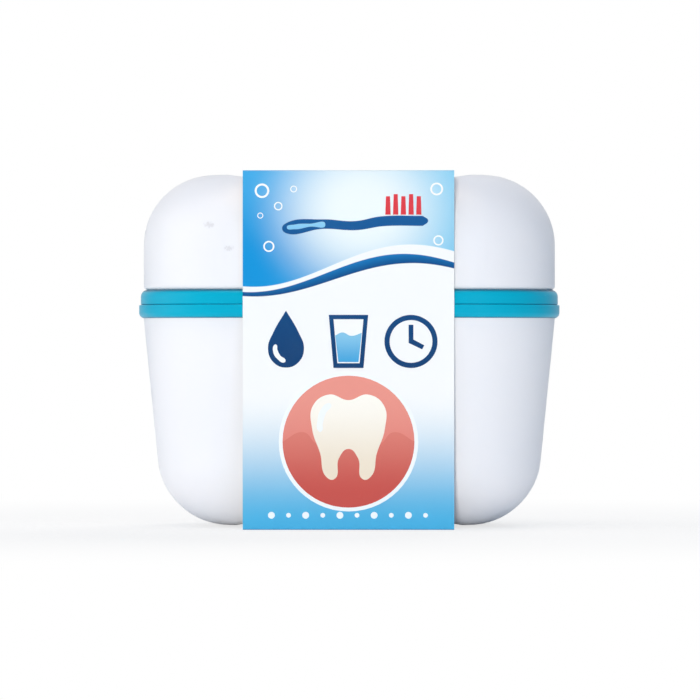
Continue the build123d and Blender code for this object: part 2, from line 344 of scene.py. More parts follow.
# Stainless spring wire and pin, drawn: bright with fine lines.
STEEL_DRAWN = Finish(
    "stainless_steel_drawn",
    "C9CBCE",
    "B6B8BC",
    cloud_mm=2,
    tint_share=0.5,
    rough=0.34,
    rough_swing=0.05,
    grain_mm=0.08,
    relief=0.2,
    ior=1.5,
    metal=1.0,
)
# Bare side and cut edge of folding boxboard: pale grey-cream and fibrous.
CARD_BARE = Finish(
    "boxboard_uncoated",
    "F2F0EA",
    "E6E3DA",
    cloud_mm=1.6,
    tint_share=0.5,
    rough=0.85,
    rough_swing=0.06,
    grain_mm=0.22,
    relief=0.5,
    ior=1.5,
)


@dataclass(frozen=True)
class ScuffedShell(Finish):
    """The shells' plastic with a few faint grey scuffs on its front.

    Attributes:
        scuffs: X, Z and reach of each scuff, in millimetres.
        grime: sRGB hex of the scuffs.
        show: how strongly they show.
        streak_mm: size of the broken streaks in a scuff.
        streak_span: how much scuff and streak together start and fill a mark.
        squeeze: scale of a scuff's fall along X and Z; less than 1 draws it out.
    """

    scuffs: tuple[tuple[float, float, float], ...] = ()
    grime: str = "B9B6BC"
    show: float = 0.3
    streak_mm: float = 0.909
    streak_span: tuple[float, float] = (0.24, 0.42)
    squeeze: tuple[float, float] = (0.7, 1.3)

    def hue(self, tree: bpy.types.NodeTree, at: bpy.types.NodeSocket) -> bpy.types.NodeSocket:
        """Mixes the clean plastic, greyed where a broken streak crosses a scuff.

        Args:
            tree: the material's nodes.
            at: the object's own coordinates, in millimetres.

        Returns:
            The colour's socket.
        """
        colour = Finish.hue(self, tree, at)
        along, up = self.squeeze
        streak = put(
            tree,
            "ShaderNodeTexNoise",
            {
                "Vector": at,
                "Scale": 1 / self.streak_mm,
                "Detail": 3.0,
                "Roughness": 0.6,
                "Distortion": 0.8,
            },
        )
        part = put(tree, "ShaderNodeSeparateXYZ", {0: at})
        front = put(tree, "ShaderNodeMath", {0: part.outputs["Y"], 1: 0.0}, operation="LESS_THAN")
        for x, z, reach in self.scuffs:
            flat = put(
                tree,
                "ShaderNodeMapping",
                {"Vector": at, "Location": (-along * x, 0, -up * z), "Scale": (along, 0.0, up)},
            )
            away = put(tree, "ShaderNodeVectorMath", {0: flat.outputs[0]}, operation="LENGTH")
            near = put(
                tree,
                "ShaderNodeMapRange",
                {
                    "Value": away.outputs["Value"],
                    "From Min": reach,
                    "From Max": 0.0,
                    "To Min": 0.0,
                    "To Max": 1.0,
                },
            )
            both = put(
                tree,
                "ShaderNodeMath",
                {0: near.outputs["Result"], 1: streak.outputs["Fac"]},
                operation="MULTIPLY",
            )
            mark = put(
                tree,
                "ShaderNodeMapRange",
                {
                    "Value": both.outputs[0],
                    "From Min": self.streak_span[0],
                    "From Max": self.streak_span[1],
                    "To Min": 0.0,
                    "To Max": self.show,
                },
                interpolation_type="SMOOTHSTEP",
            )
            share = put(
                tree,
                "ShaderNodeMath",
                {0: mark.outputs["Result"], 1: front.outputs[0]},
                operation="MULTIPLY",
            )
            mix = put(
                tree,
                "ShaderNodeMix",
                {0: share.outputs[0], 6: colour, 7: srgb(self.grime)},
                data_type="RGBA",
            )
            colour = mix.outputs[2]
        return colour


# The lid has been handled: two faint scuffs on its front left.
LID_WHITE = ScuffedShell(
    **{**asdict(SHELL_WHITE), "name": "polypropylene_white_scuffed"},
    scuffs=((-32.6, 71.3, 2.2), (-28.0, 65.8, 1.8)),
)


@dataclass(frozen=True)
class JointShadedBand(Finish):
    """The bands' plastic with painted shade, darker where a shell stands in it.

    Attributes:
        joints: heights of the joints, in millimetres.
        reach: how far the shade spreads from a joint, in millimetres.
        shade: sRGB hex of the painted shade in the joint.
        depth: share of that painted shade in the joint.
    """

    joints: tuple[float, ...] = ()
    reach: float = 0.5
    shade: str = "04607E"
    depth: float = 0.8

    def hue(self, tree: bpy.types.NodeTree, at: bpy.types.NodeSocket) -> bpy.types.NodeSocket:
        """Mixes the clean plastic with painted shade beside each joint.

        Args:
            tree: the material's nodes.
            at: the object's own coordinates, in millimetres.

        Returns:
            The colour's socket.
        """
        colour = Finish.hue(self, tree, at)
        part = put(tree, "ShaderNodeSeparateXYZ", {0: at})
        # painted shade: a dark strip of colour along each joint stands in for the shadow there
        for z in self.joints:
            off = put(tree, "ShaderNodeMath", {0: part.outputs["Z"], 1: z}, operation="SUBTRACT")
            away = put(tree, "ShaderNodeMath", {0: off.outputs[0]}, operation="ABSOLUTE")
            near = put(
                tree,
                "ShaderNodeMapRange",
                {
                    "Value": away.outputs[0],
                    "From Min": self.reach,
                    "From Max": 0.0,
                    "To Min": 0.0,
                    "To Max": self.depth,
                },
                interpolation_type="SMOOTHSTEP",
            )
            mix = put(
                tree,
                "ShaderNodeMix",
                {0: near.outputs["Result"], 6: colour, 7: srgb(self.shade)},
                data_type="RGBA",
            )
            colour = mix.outputs[2]
        return colour


# The bands' own plastic, with a painted contact shadow where the shells stand in them.
BAND_JOINT_SHADED = JointShadedBand(
    **{**asdict(BAND_BLUE), "name": "polypropylene_turquoise_joint_shaded"},
    joints=(49.5, 56.05),
)


@dataclass(frozen=True)
class Wave:
    """A line of the print over X: a sine that stands above the line before it.

    Attributes:
        middle: its mean height over that line, in millimetres.
        swing: how far it swings.
        turn: radians for each millimetre of X.
        phase: radians at the middle.
    """

    middle: float
    swing: float
    turn: float
    phase: float

    def line(
        self, tree: bpy.types.NodeTree, x: bpy.types.NodeSocket, below: bpy.types.NodeSocket | float
    ) -> bpy.types.NodeSocket:
        """Works out the line's height.

        Args:
            tree: the material's nodes.
            x: the place along X.
            below: the height of the line before it.

        Returns:
            The height's socket.
        """
        angle = put(tree, "ShaderNodeMath", {0: x, 1: self.turn, 2: self.phase}, operation="MULTIPLY_ADD")
        sine = put(tree, "ShaderNodeMath", {0: angle.outputs[0]}, operation="SINE")
        rise = put(
            tree,
            "ShaderNodeMath",
            {0: sine.outputs[0], 1: self.swing, 2: self.middle},
            operation="MULTIPLY_ADD",
        )
        return put(tree, "ShaderNodeMath", {0: rise.outputs[0], 1: below}, operation="ADD").outputs[0]


@dataclass(frozen=True)
class PrintedCard(Finish):
    """Coated boxboard, printed: sky above a double wave, white that deepens below.

    Attributes:
        waves: foot of the dark crest, its top and the top of the foam.
        back_drop: how much lower the waves run behind, where they fall between the flaps.
        crisp: how fast a line turns from one colour to the next, for each millimetre.
        crest_mm: height over which the dark crest turns to its lit colour.
        glow_x: X of the pale glow in the sky.
        glow_z: its Z.
        glow_squeeze: scale of its fall along X; less than 1 draws it out.
        glow_span: distances at which the glow starts and has ended.
        side_span: X over which the rim of the sky turns to its lit side.
        side_share: how far it turns.
        high_span: heights over which it turns to the colour at the fold.
        foot_span: heights over which the white deepens.
        sky_deep: colour of the sky's rim, low down.
        sky_high: its colour at the top fold.
        sky_side: the rim's colour at its lit side.
        sky_pale: colour of the glow.
        navy: colour of the dark crest's lower edge.
        navy_lit: its lit colour.
        foot_blue: colour at the sleeve's foot.
        white: colour of the unprinted card.
    """

    waves: tuple[Wave, ...] = (
        Wave(58.4, 3.9, 0.085, 0.3),
        Wave(1.7, 0.75, 0.1, 1.1),
        Wave(1.9, 0.8, 0.07, -0.6),
    )
    back_drop: float = 10.0
    crisp: float = 9.0
    crest_mm: float = 2.0
    glow_x: float = 3.0
    glow_z: float = 75.0
    glow_squeeze: float = 0.9
    glow_span: tuple[float, float] = (2.0, 27.0)
    side_span: tuple[float, float] = (-22.0, 26.0)
    side_share: float = 0.8
    high_span: tuple[float, float] = (64.0, 86.0)
    foot_span: tuple[float, float] = (33.0, 1.0)
    sky_deep: str = "0F96DC"
    sky_high: str = "46AFEA"
    sky_side: str = "8FD6F3"
    sky_pale: str = "F3FCFE"
    navy: str = "0B4A86"
    navy_lit: str = "1273B6"
    foot_blue: str = "4CB4E3"
    white: str = "F9FBFC"

    def shares(
        self,
        tree: bpy.types.NodeTree,
        at: bpy.types.NodeSocket,
        x: bpy.types.NodeSocket,
        z: bpy.types.NodeSocket,
    ) -> dict[str, bpy.types.NodeSocket]:
        """Works out how far each slow change of colour has gone.

        Args:
            tree: the material's nodes.
            at: the object's own coordinates, in millimetres.
            x: their X alone.
            z: their Z alone.

        Returns:
            A share from 0 to 1 for each change.
        """
        from_glow = put(
            tree,
            "ShaderNodeMapping",
            {
                "Vector": at,
                "Location": (-self.glow_squeeze * self.glow_x, 0, -self.glow_z),
                "Scale": (self.glow_squeeze, 0, 1),
            },
        )
        away = put(tree, "ShaderNodeVectorMath", {0: from_glow.outputs[0]}, operation="LENGTH")
        shares = {}
        for name, value, span, most, blend in (
            ("rim", away.outputs["Value"], self.glow_span, 1.0, "SMOOTHERSTEP"),
            ("side", x, self.side_span, self.side_share, "SMOOTHSTEP"),
            ("high", z, self.high_span, 1.0, "SMOOTHSTEP"),
            ("foot", z, self.foot_span, 1.0, "SMOOTHSTEP"),
        ):
            ramp = put(
                tree,
                "ShaderNodeMapRange",
                {"Value": value, "From Min": span[0], "From Max": span[1], "To Min": 0.0, "To Max": most},
                interpolation_type=blend,
            )
            shares[name] = ramp.outputs["Result"]
        return shares

    def hue(self, tree: bpy.types.NodeTree, at: bpy.types.NodeSocket) -> bpy.types.NodeSocket:
        """Mixes the print, worked out from the place on the card alone.

        Args:
            tree: the material's nodes.
            at: the object's own coordinates, in millimetres.

        Returns:
            The colour's socket.
        """
        part = put(tree, "ShaderNodeSeparateXYZ", {0: at})
        x, z = part.outputs["X"], part.outputs["Z"]
        behind = put(tree, "ShaderNodeMath", {0: part.outputs["Y"], 1: 0.0}, operation="GREATER_THAN")
        level = put(
            tree,
            "ShaderNodeMath",
            {0: behind.outputs[0], 1: self.back_drop, 2: z},
            operation="MULTIPLY_ADD",
        )
        lines = []
        below: bpy.types.NodeSocket | float = 0.0
        for wave in self.waves:
            below = wave.line(tree, x, below)
            lines.append(below)
        rise = put(tree, "ShaderNodeMath", {0: z, 1: lines[0]}, operation="SUBTRACT")
        lit = put(
            tree, "ShaderNodeMath", {0: rise.outputs[0], 1: 1 / self.crest_mm}, operation="MULTIPLY"
        )
        share = self.shares(tree, at, x, z)
        names = ("sky_deep", "sky_high", "sky_side", "sky_pale", "navy", "navy_lit", "foot_blue", "white")
        paint: dict[str, object] = {name: srgb(getattr(self, name)) for name in names}
        for made, amount, first, second in (
            ("rim", share["high"], "sky_deep", "sky_high"),
            ("lit_rim", share["side"], "rim", "sky_side"),
            ("sky", share["rim"], "sky_pale", "lit_rim"),
            ("ground", share["foot"], "white", "foot_blue"),
            ("crest", lit.outputs[0], "navy", "navy_lit"),
        ):
            mix = put(
                tree,
                "ShaderNodeMix",
                {0: amount, 6: paint[first], 7: paint[second]},
                data_type="RGBA",
                clamp_factor=True,
            )
            paint[made] = mix.outputs[2]
        colour = paint["ground"]
        for line, over in zip(lines, ("crest", "white", "sky")):
            gap = put(tree, "ShaderNodeMath", {0: level.outputs[0], 1: line}, operation="SUBTRACT")
            edge = put(
                tree, "ShaderNodeMath", {0: gap.outputs[0], 1: self.crisp, 2: 0.5}, operation="MULTIPLY_ADD"
            )
            mix = put(
                tree,
                "ShaderNodeMix",
                {0: edge.outputs[0], 6: colour, 7: paint[over]},
                data_type="RGBA",
                clamp_factor=True,
            )
            colour = mix.outputs[2]
        return colour


# Folding boxboard, clay coated and offset printed: even colour with a soft sheen.
CARD_PRINTED = PrintedCard(
    "boxboard_coated_printed",
    "FFFFFF",
    "FFFFFF",
    rough=0.36,
    rough_swing=0.03,
    grain_mm=0.35,
    relief=0.06,
    ior=1.5,
    shine=0.3,
)


@dataclass(frozen=True)
class Ink(Finish):
    """Offset ink on the coated card, shaded from one height to another.

    Attributes:
        low_z: height of the first colour, in millimetres.
        high_z: height of the second colour.
    """

    rough: float = 0.36
    rough_swing: float = 0.03
    relief: float = 0.04
    shine: float = 0.3
    low_z: float = 0.0
    high_z: float = 1.0

    def hue(self, tree: bpy.types.NodeTree, at: bpy.types.NodeSocket) -> bpy.types.NodeSocket:
        """Mixes the ink's own shade over its height.

        Args:
            tree: the material's nodes.
            at: the object's own coordinates, in millimetres.

        Returns:
            The colour's socket.
        """
        part = put(tree, "ShaderNodeSeparateXYZ", {0: at})
        share = put(
            tree,
            "ShaderNodeMapRange",
            {"Value": part.outputs["Z"], "From Min": self.low_z, "From Max": self.high_z},
            interpolation_type="SMOOTHSTEP",
        )
        mix = put(
            tree,
            "ShaderNodeMix",
            {0: share.outputs["Result"], 6: srgb(self.colour), 7: srgb(self.tint)},
            data_type="RGBA",
        )
        return mix.outputs[2]


# Offset inks under a thin varnish: flat, faintly shaded colour, as smooth as the card.
NAVY = Ink("ink_navy", "0C3F72", "145C9C", low_z=34, high_z=80)
RED = Ink("ink_red", "C8202C", "E2414A", low_z=66, high_z=76)
CORAL = Ink("ink_coral", "D9736A", "EE9A8E", low_z=6, high_z=34)
ROSE = Ink("ink_rose", "C9564F", "E08377", low_z=8, high_z=26)
CREAM = Ink("ink_cream", "EFE3CF", "FFFCF4", low_z=12, high_z=32)
PAPER_WHITE = Ink("ink_white", "F4FBFF", "FFFFFF", low_z=0, high_z=84)
SKY = Ink("ink_sky", "3FA3DC", "8CCBEC", low_z=38, high_z=47)
SKY_PALE = Ink("ink_sky_pale", "7CC4EC", "9AD6F4", low_z=69, high_z=73)


# ------------------------------------------------------------------ meshes
def finish_mesh(bm: bmesh.types.BMesh, name: str, sharp_deg: float = 32.0) -> bpy.types.Object:
    """Turns a bmesh in millimetres into an object in metres at the origin.

    Args:
        bm: the mesh, which is freed.
        name: the object's name.
        sharp_deg: edges that turn more than this stay crisp.

    Returns:
        The new object, linked to the scene.
    """
    bmesh.ops.scale(bm, vec=(MM, MM, MM), verts=bm.verts)
    for face in bm.faces:
        face.smooth = True
    for edge in bm.edges:
        if len(edge.link_faces) == 2:
            edge.smooth = edge.calc_face_angle(0.0) < math.radians(sharp_deg)
    mesh = bpy.data.meshes.new(name)
    bm.to_mesh(mesh)
    bm.free()
    made = bpy.data.objects.new(name, mesh)
    bpy.context.scene.collection.objects.link(made)
    return made


def dress(obj: bpy.types.Object, *finishes: Finish) -> None:
    """Gives an object its finishes, in order.

    Args:
        obj: a new piece, or a solid node, whose own slots all get the first finish.
        *finishes: what its slots hold.
    """
    slots = obj.data.materials
    for index in range(len(slots)):
        slots[index] = material_of(finishes[0])
    if not slots:
        for finish in finishes:
            slots.append(material_of(finish))


def level_edges(bm: bmesh.types.BMesh, z: float) -> list[bmesh.types.BMEdge]:
    """The edges of bm whose two ends lie at height z."""
    return [e for e in bm.edges if all(abs(v.co.z - z) < NEAR for v in e.verts)]


def round_over(
    bm: bmesh.types.BMesh, edges: Sequence[bmesh.types.BMEdge], offset: float, segments: int
) -> None:
    """Rounds edges of bm to an arc that starts at offset from them."""
    bmesh.ops.bevel(
        bm, geom=edges, offset=offset, segments=segments, profile=0.5, affect="EDGES", material=-1
    )


def cut_at(bm: bmesh.types.BMesh, point: Sequence[float], normal: Sequence[float]) -> None:
    """Cuts every face along a plane and keeps both sides."""
    bmesh.ops.bisect_plane(
        bm,
        geom=bm.verts[:] + bm.edges[:] + bm.faces[:],
        dist=1e-5,
        plane_co=point,
        plane_no=normal,
    )


def grow(bm: bmesh.types.BMesh, edges: Sequence[bmesh.types.BMEdge], way: Sequence[float]) -> None:
    """Draws faces out of edges.

    Args:
        bm: the mesh that holds the edges.
        edges: the edges to draw out.
        way: how far and where to, in millimetres.
    """
    grown = bmesh.ops.extrude_edge_only(bm, edges=edges)["geom"]
    bmesh.ops.translate(bm, vec=way, verts=[g for g in grown if isinstance(g, bmesh.types.BMVert)])


def smooth_least(a: float, b: float, soft: float) -> float:
    """Finds the lesser of two numbers, rounded over where they come close.

    Args:
        a: the one number.
        b: the other.
        soft: how close they are where the rounding starts.

    Returns:
        The lesser, or a little less than it inside the rounding.
    """
    if soft <= 0:
        return min(a, b)
    share = max(soft - abs(a - b), 0.0) / soft
    return min(a, b) - share * share * soft / 4


@dataclass
class CaseSizes:
    """The sizes that several pieces share, as in the solid model.

    Attributes:
        half_w: half the shells' width.
        half_d: half their depth.
        corner: radius of their plan corners.
        wall: thickness of both shells.
        middle_y: Y of the case's middle.
        foot_z: underside of the tub.
        low_z: underside of the lower band.
        high_z: top of the upper band.
        top_z: crown of the lid.
        edge: radius round the lid's top and the tub's bottom.
        draft: how far the tub's walls lean, in degrees.
    """

    half_w: float = 48.9
    half_d: float = 38.0
    corner: float = 26.0
    wall: float = 1.8
    middle_y: float = -0.85
    foot_z: float = 0.45
    low_z: float = 49.5
    high_z: float = 56.3
    top_z: float = 83.55
    edge: float = 16.7
    draft: float = 5.7

    def inner_corner(self, x: float, y: float) -> tuple[float, float]:
        """The point of the outline's spine that is nearest to (x, y)."""
        cx, cy = self.half_w - self.corner, self.half_d - self.corner
        return max(-cx, min(cx, x)), max(-cy, min(cy, y))

    def blank(self, z0: float, z1: float, corner_steps: int = 18) -> bmesh.types.BMesh:
        """Makes a block of the shells' outline with rounded plan corners.

        Args:
            z0: its underside.
            z1: its top.
            corner_steps: faces round a corner.

        Returns:
            The block as a bmesh in millimetres, its middle on the axis.
        """
        bm = bmesh.new()
        bmesh.ops.create_cube(bm, size=1.0)
        bmesh.ops.scale(bm, vec=(2 * self.half_w, 2 * self.half_d, z1 - z0), verts=bm.verts)
        bmesh.ops.translate(bm, vec=(0, 0, (z0 + z1) / 2), verts=bm.verts)
        upright = [e for e in bm.edges if abs(e.verts[0].co.z - e.verts[1].co.z) > NEAR]
        round_over(bm, upright, self.corner, corner_steps)
        return bm


@dataclass(frozen=True)
class Dip:
    """The shallow dip between the two lobes, as an S of two arcs.

    Attributes:
        start: where it leaves the crown, either side of the middle.
        depth: how deep it is in the middle.
        shoulder: radius of the lobe's shoulder.
    """

    start: float
    depth: float
    shoulder: float

    def at(self, x: float) -> float:
        """Works out the dip's form.

        Args:
            x: the place along X.

        Returns:
            How far the surface lies under the crown there.
        """
        turn = 2 * math.atan(self.depth / self.start)
        hollow = self.start / math.sin(turn) - self.shoulder
        x = abs(x)
        if x >= self.start:
            return 0.0
        if x > self.start - self.shoulder * math.sin(turn):
            run = self.start - x
            return self.shoulder - math.sqrt(self.shoulder**2 - run**2)
        return self.depth - (hollow - math.sqrt(hollow**2 - x**2))


@dataclass
class Shells:
    """The two white shells.

    Attributes:
        sizes: the case's sizes.
        lid_dip: the dip in the lid's top.
        tub_dip: the dip in the tub's bottom.
        dip_cuts: cuts across each half of a dip.
        dip_reach: how far under a crown its vertices still follow the dip.
        tongue: how far the lid stands in its band.
        collar: how far the tub stands in its band.
        foot_r: rounding where the lid meets its band.
        foot_steps: faces over that rounding.
        edge_steps: faces over the rounding of top and bottom.
        window_half: half the width of the tub's opening for the button's housing.
        window_z: that opening's lower edge.
        soften: how far the dip's rim is rounded into the edge.
    """

    sizes: CaseSizes
    lid_dip: Dip = Dip(30.5, 2.6, 17.0)
    tub_dip: Dip = Dip(27.6, 2.8, 6.0)
    dip_cuts: int = 20
    dip_reach: float = 8.0
    tongue: float = 1.4
    collar: float = 1.2
    foot_r: float = 0.9
    foot_steps: int = 5
    edge_steps: int = 16
    window_half: float = 10.28
    window_z: float = 42.85
    soften: float = 0.5

    def build(self) -> list[bpy.types.Object]:
        """Builds both shells in place of the solid ones.

        Returns:
            The lid's shell and the tub's.
        """
        made = [self.lid(), self.tub()]
        dress(made[0], LID_WHITE)
        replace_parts(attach(made[0], Body.LID.value), "lid_shell")
        dress(made[1], SHELL_WHITE)
        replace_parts(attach(made[1], Body.TUB.value), "tub_shell")
        return made

    def sink(self, bm: bmesh.types.BMesh, dip: Dip, crown: float, up: int) -> None:
        """Presses the dip into a crown or a base.

        Args:
            bm: the shell's outside.
            dip: the dip's form.
            crown: height of the face that it is pressed into.
            up: 1 for a top, -1 for a bottom.
        """
        for step in range(-self.dip_cuts - 1, self.dip_cuts + 2):
            cut_at(bm, (step * dip.start / self.dip_cuts, 0, 0), (1, 0, 0))
        for vert in bm.verts:
            reach = up * (vert.co.z - crown)
            if reach > -self.dip_reach:
                limit = -dip.at(vert.co.x)
                soft = self.soften if abs(vert.co.x) < dip.start else 0.0
                vert.co.z = crown + up * smooth_least(reach, limit, soft * min(1.0, -limit))

    def lid(self) -> bpy.types.Object:
        """Builds the lid's shell.

        Returns:
            The shell, from its tongue to its crown, with an even wall.
        """
        s = self.sizes
        bm = s.blank(s.high_z, s.top_z)
        round_over(bm, level_edges(bm, s.top_z), s.edge, self.edge_steps)
        round_over(bm, level_edges(bm, s.high_z), self.foot_r, self.foot_steps)
        self.sink(bm, self.lid_dip, s.top_z, 1)
        base = [f for f in bm.faces if all(abs(v.co.z - s.high_z) < NEAR for v in f.verts)]
        bmesh.ops.delete(bm, geom=base, context="FACES")
        grow(bm, [e for e in bm.edges if e.is_boundary], (0, 0, -self.tongue))
        return self.settle(bm, "lid_shell_moulding")

    def tub(self) -> bpy.types.Object:
        """Builds the tub's shell.

        Returns:
            The drafted shell, from its runners to its collar.
        """
        s = self.sizes
        rim_z = s.low_z + self.collar
        bm = s.blank(s.foot_z, rim_z)
        cut_at(bm, (0, 0, s.low_z), (0, 0, 1))
        slope = math.tan(math.radians(s.draft))
        for vert in bm.verts:
            px, py = s.inner_corner(vert.co.x, vert.co.y)
            lean = max(0.0, s.low_z - vert.co.z) * slope
            out = Vector((vert.co.x - px, vert.co.y - py, 0))
            if out.length > NEAR:
                out.normalize()
                vert.co.x = px + out.x * (s.corner - lean)
                vert.co.y = py + out.y * (s.corner - lean)
        bm.normal_update()
        # a wall that leans meets the bottom at more than a right angle, so the arc starts nearer
        offset = s.edge * math.tan(math.radians((90 - s.draft) / 2))
        round_over(bm, level_edges(bm, s.foot_z), offset, self.edge_steps)
        self.sink(bm, self.tub_dip, s.foot_z, -1)
        for side in (-1, 1):
            cut_at(bm, (side * self.window_half, 0, 0), (1, 0, 0))
        cut_at(bm, (0, 0, self.window_z), (0, 0, 1))
        gone = []
        for face in bm.faces:
            middle = face.calc_center_median()
            top = all(v.co.z > rim_z - NEAR for v in face.verts)
            window = middle.y < 0 and abs(middle.x) < self.window_half and middle.z > self.window_z
            if top or window:
                gone.append(face)
        bmesh.ops.delete(bm, geom=gone, context="FACES")
        return self.settle(bm, "tub_shell_moulding")

    def settle(self, bm: bmesh.types.BMesh, name: str) -> bpy.types.Object:
        """Gives the outside an even wall and moves it onto the case's middle.

        Args:
            bm: the shell's outside.
            name: the piece's name.

        Returns:
            The finished shell.
        """
        bmesh.ops.recalc_face_normals(bm, faces=bm.faces)
        bmesh.ops.solidify(bm, geom=bm.faces[:], thickness=self.sizes.wall)
        bmesh.ops.remove_doubles(bm, verts=bm.verts, dist=1e-4)
        bmesh.ops.translate(bm, vec=(0, self.sizes.middle_y, 0), verts=bm.verts)
        return finish_mesh(bm, name, sharp_deg=40)


@dataclass
class Fittings:
    """The solid nodes that keep their own form and get only a finish.

    Attributes:
        nodes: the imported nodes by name.
    """

    nodes: dict[str, bpy.types.Object]

    def build(self) -> list[bpy.types.Object]:
        """Dresses each node.

        Returns:
            The dressed nodes.
        """
        finishes = {
            # the rim rings' finish carries painted shade along the joints with the shells
            "tub_rim_ring": BAND_JOINT_SHADED,
            "lid_rim_ring": BAND_JOINT_SHADED,
            "basket_handle": BAND_BLUE,
            "release_button": BUTTON_BLUE,
            "button_keeper": BUTTON_BLUE,
            "rim_seal": SEAL_SILICONE,
            "basket": BASKET_ICE,
            "hinge_pin": STEEL_DRAWN,
        }
        for name, finish in finishes.items():
            dress(self.nodes[name], finish)
        return [self.nodes[name] for name in finishes]


@dataclass
class ButtonGrip:
    """Three moulded bars on the button's face.

    Attributes:
        sizes: the case's sizes.
        face_y: Y of the button's face, from the case's middle.
        middle_z: height of the middle bar.
        pitch: from bar to bar.
        length: length of a bar.
        bar_d: its depth, part of which is in the face.
        bar_h: its height.
        sunk: how far its middle lies behind the face.
        edge: rounding of its edges.
    """

    sizes: CaseSizes
    face_y: float = -39.1
    middle_z: float = 47.85
    pitch: float = 1.3
    length: float = 8.0
    bar_d: float = 0.3
    bar_h: float = 0.5
    sunk: float = 0.12
    edge: float = 0.07

    def build(self) -> list[bpy.types.Object]:
        """Builds the bars as one piece.

        Returns:
            The piece.
        """
        bm = bmesh.new()
        y = self.face_y + self.sunk + self.sizes.middle_y
        for step in (-1, 0, 1):
            bar = bmesh.ops.create_cube(bm, size=1.0)["verts"]
            bmesh.ops.scale(bm, vec=(self.length, self.bar_d, self.bar_h), verts=bar)
            bmesh.ops.translate(bm, vec=(0, y, self.middle_z + step * self.pitch), verts=bar)
        round_over(bm, bm.edges[:], self.edge, 3)
        made = finish_mesh(bm, "button_grip_bars", sharp_deg=60)
        dress(made, BUTTON_BLUE)
        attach(made, Body.BUTTON.value)
        return [made]


@dataclass
class ReturnSprings:
    """The two coils of wire behind the button, which the button squeezes.

    Attributes:
        out_x: X of each axis, either side of the middle.
        middle_z: Z of the axes.
        near_y: Y of the wire's first turn, at the button.
        far_y: Y of its last turn, at the keeper.
        coil_r: radius to the wire's middle.
        wire_r: the wire's radius.
        turns: number of turns.
        turn_steps: sections of wire in a turn.
        travel: how far the button presses them; not used.
    """

    out_x: float = 6.525
    middle_z: float = 47.55
    near_y: float = -38.368
    far_y: float = -34.232
    coil_r: float = 1.15
    wire_r: float = 0.2
    turns: int = 5
    turn_steps: int = 30
    travel: float = 1.2

    def build(self) -> list[bpy.types.Object]:
        """Builds both coils in place of the solid ones.

        Returns:
            The left coil and the right one.
        """
        springs = []
        for side, x in (("left", -self.out_x), ("right", self.out_x)):
            made = self.coil(f"return_spring_{side}", x)
            dress(made, STEEL_DRAWN)
            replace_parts(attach(made, Body.TUB.value), f"button_spring_{side}")
            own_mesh(made)
            springs.append(made)
        return springs

    def coil(self, name: str, x: float) -> bpy.types.Object:
        """Turns the wire's section round an axis and along it.

        Args:
            name: the piece's name.
            x: X of the axis.

        Returns:
            The coil, closed at both ends.
        """
        bm = bmesh.new()
        bmesh.ops.create_circle(bm, cap_ends=True, segments=12, radius=self.wire_r)
        bmesh.ops.translate(bm, vec=(x + self.coil_r, self.near_y, self.middle_z), verts=bm.verts)
        steps = self.turns * self.turn_steps
        bmesh.ops.spin(
            bm,
            geom=bm.verts[:] + bm.edges[:] + bm.faces[:],
            cent=(x, self.near_y, self.middle_z),
            axis=(0, 1, 0),
            dvec=(0, (self.far_y - self.near_y) / steps, 0),
            angle=2 * math.pi * self.turns,
            steps=steps,
            use_merge=False,
        )
        bmesh.ops.recalc_face_normals(bm, faces=bm.faces)
        return finish_mesh(bm, name, sharp_deg=60)


@dataclass
class Sleeve:
    """The folded card round the middle, in two halves that meet at the parting.

    Attributes:
        sizes: the case's sizes.
        width: width of the card.
        card: its thickness.
        front: from the case's middle to the front panel's face.
        back: from the case's middle to the back flaps' face.
        top_z: height of the top panel's face.
        split_z: where the halves meet in front.
        flap_up_z: where the upper flap ends behind.
        flap_down_z: where the lower flap ends behind.
        fold: how far a fold's arc starts from the corner.
        fold_steps: faces over that arc.
    """

    sizes: CaseSizes
    width: float = 49.4
    card: float = 0.4
    front: float = 39.55
    back: float = 41.25
    top_z: float = 84.0
    split_z: float = 52.75
    flap_up_z: float = 59.7
    flap_down_z: float = 43.7
    fold: float = 0.55
    fold_steps: int = 5

    def build(self) -> list[bpy.types.Object]:
        """Builds both halves in place of the solid ones.

        Returns:
            The upper half and the lower one.
        """
        halves = []
        for side, body, far_z, back_z in (
            ("upper", Body.SLEEVE_TOP, self.top_z, self.flap_up_z),
            ("lower", Body.SLEEVE_LOW, 0.0, self.flap_down_z),
        ):
            made = self.half(f"card_sleeve_{side}", far_z, back_z)
            dress(made, CARD_PRINTED, CARD_BARE)
            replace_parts(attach(made, body.value), f"sleeve_{side}")
            halves.append(made)
        return halves

    def half(self, name: str, far_z: float, back_z: float) -> bpy.types.Object:
        """Folds one half out of a strip.

        Args:
            name: the piece's name.
            far_z: height of the panel over or under the case.
            back_z: where the flap at the back ends.

        Returns:
            The folded half, printed outside and bare inside.
        """
        left = -self.width / 2
        bm = bmesh.new()
        corners = (
            (-self.front, self.split_z),
            (-self.front, far_z),
            (self.back, far_z),
            (self.back, back_z),
        )
        line = [bm.verts.new((left, y, z)) for y, z in corners]
        grow(bm, [bm.edges.new(pair) for pair in zip(line, line[1:])], (self.width, 0, 0))
        folds = [e for e in level_edges(bm, far_z) if len(e.link_faces) == 2]
        round_over(bm, folds, self.fold, self.fold_steps)
        bmesh.ops.recalc_face_normals(bm, faces=bm.faces)
        middle = Vector((0, 0, (self.split_z + back_z) / 2))
        if sum(f.normal.dot(f.calc_center_median() - middle) for f in bm.faces) < 0:
            bmesh.ops.reverse_faces(bm, faces=bm.faces)
        printed = set(bm.faces)
        bmesh.ops.solidify(bm, geom=bm.faces[:], thickness=self.card)
        for face in bm.faces:
            face.material_index = 0 if face in printed else 1
        bmesh.ops.translate(bm, vec=(0, self.sizes.middle_y, 0), verts=bm.verts)
        return finish_mesh(bm, name, sharp_deg=50)


# ------------------------------------------------------------------ print
class Corner(Enum):
    """How an outline passes a point."""

    SMOOTH = "AUTO"
    SHARP = "VECTOR"


Outline = list[tuple[float, float, Corner]]


